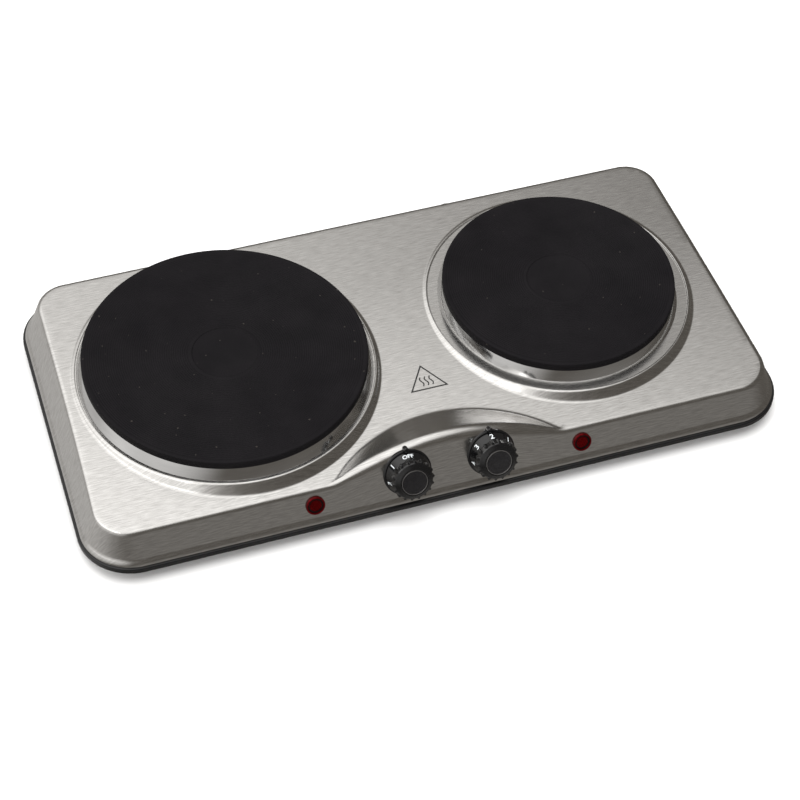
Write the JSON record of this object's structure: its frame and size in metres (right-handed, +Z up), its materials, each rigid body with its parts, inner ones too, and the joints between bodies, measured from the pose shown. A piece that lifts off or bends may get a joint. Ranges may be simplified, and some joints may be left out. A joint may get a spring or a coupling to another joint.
{
  "type": "hot plate burner",
  "caption": "Twin solid-plate electric hot plate: brushed steel housing, large and small cast-iron plates, turning control knobs, pilot lamps and rubber feet.",
  "frame": {"origin": "centre of the plan at the surface the feet stand on", "axes": "+X along the width, from the large plate to the small plate; +Y to the back; +Z up; the knobs face -Y"},
  "size_m": [0.472, 0.2467, 0.0552],
  "materials": {
    "housing_steel": "brushed along the width",
    "black_enamel": "gloss black enamel",
    "cast_iron_plate": "machined grooves, matt black heat-proof coating",
    "polished_ring": "polished",
    "knob_black": "gloss phenolic",
    "knob_cap": "fine hatch",
    "red_lens": "clear red",
    "neon_glass": "clear",
    "white_plastic": "moulded",
    "ceramic": "unglazed ceramic",
    "brass": "stamped",
    "rubber": "moulded",
    "gland_black": "moulded",
    "lead_sleeve": "woven glass sleeve",
    "zinc_steel": "zinc plated"
  },
  "bodies": {
    "root": {"base_pan": "black_enamel", "base_screws": "zinc_steel", "cord_clamp": "gland_black", "cord_clamp_screws": "zinc_steel", "cord_gland": "gland_black", "earth_rivets": "zinc_steel", "earth_tag": "zinc_steel", "foot_back_left": "rubber", "foot_back_right": "rubber", "foot_front_left": "rubber", "foot_front_right": "rubber", "foot_nuts": "zinc_steel", "foot_screws": "zinc_steel", "internal_leads": "lead_sleeve", "large_centre_stud": "zinc_steel", "large_clamp_strap": "zinc_steel", "large_heat_shield": "zinc_steel", "large_plate": "cast_iron_plate", "large_terminal_block": "ceramic", "large_terminal_pins": "brass", "large_trim_ring": "polished_ring", "left_bimetal_blade": "brass", "left_ceramic_stack": "ceramic", "left_contact_blade": "brass", "left_knob_bezel": "knob_black", "left_lamp_body": "white_plastic", "left_lamp_clip": "zinc_steel", "left_lamp_lens": "red_lens", "left_lamp_neon": "neon_glass", "left_thermostat_frame": "zinc_steel", "left_thermostat_screws": "zinc_steel", "mains_block": "white_plastic", "mains_block_screws": "brass", "right_bimetal_blade": "brass", "right_ceramic_stack": "ceramic", "right_contact_blade": "brass", "right_knob_bezel": "knob_black", "right_lamp_body": "white_plastic", "right_lamp_clip": "zinc_steel", "right_lamp_lens": "red_lens", "right_lamp_neon": "neon_glass", "right_thermostat_frame": "zinc_steel", "right_thermostat_screws": "zinc_steel", "skirt_brackets": "zinc_steel", "small_centre_stud": "zinc_steel", "small_clamp_strap": "zinc_steel", "small_heat_shield": "zinc_steel", "small_plate": "cast_iron_plate", "small_terminal_block": "ceramic", "small_terminal_pins": "brass", "small_trim_ring": "polished_ring", "stud_nuts": "zinc_steel", "stud_washers": "zinc_steel", "top_housing": "housing_steel"},
    "left_knob_body": {"left_knob": "knob_black", "left_knob_cap": "knob_cap", "left_knob_shaft": "zinc_steel"},
    "right_knob_body": {"right_knob": "knob_black", "right_knob_cap": "knob_cap", "right_knob_shaft": "zinc_steel"}
  },
  "joints": [
    {"name": "left_knob_turn", "type": "hinge", "parent": "root", "child": "left_knob_body", "pos_m": [-0.028, -0.10508, 0.0335], "axis": [0, -0.9205, 0.3908], "range_deg": [-250, 0]},
    {"name": "right_knob_turn", "type": "hinge", "parent": "root", "child": "right_knob_body", "pos_m": [0.028, -0.10508, 0.0335], "axis": [0, -0.9205, 0.3908], "range_deg": [-150, 100]}
  ]
}
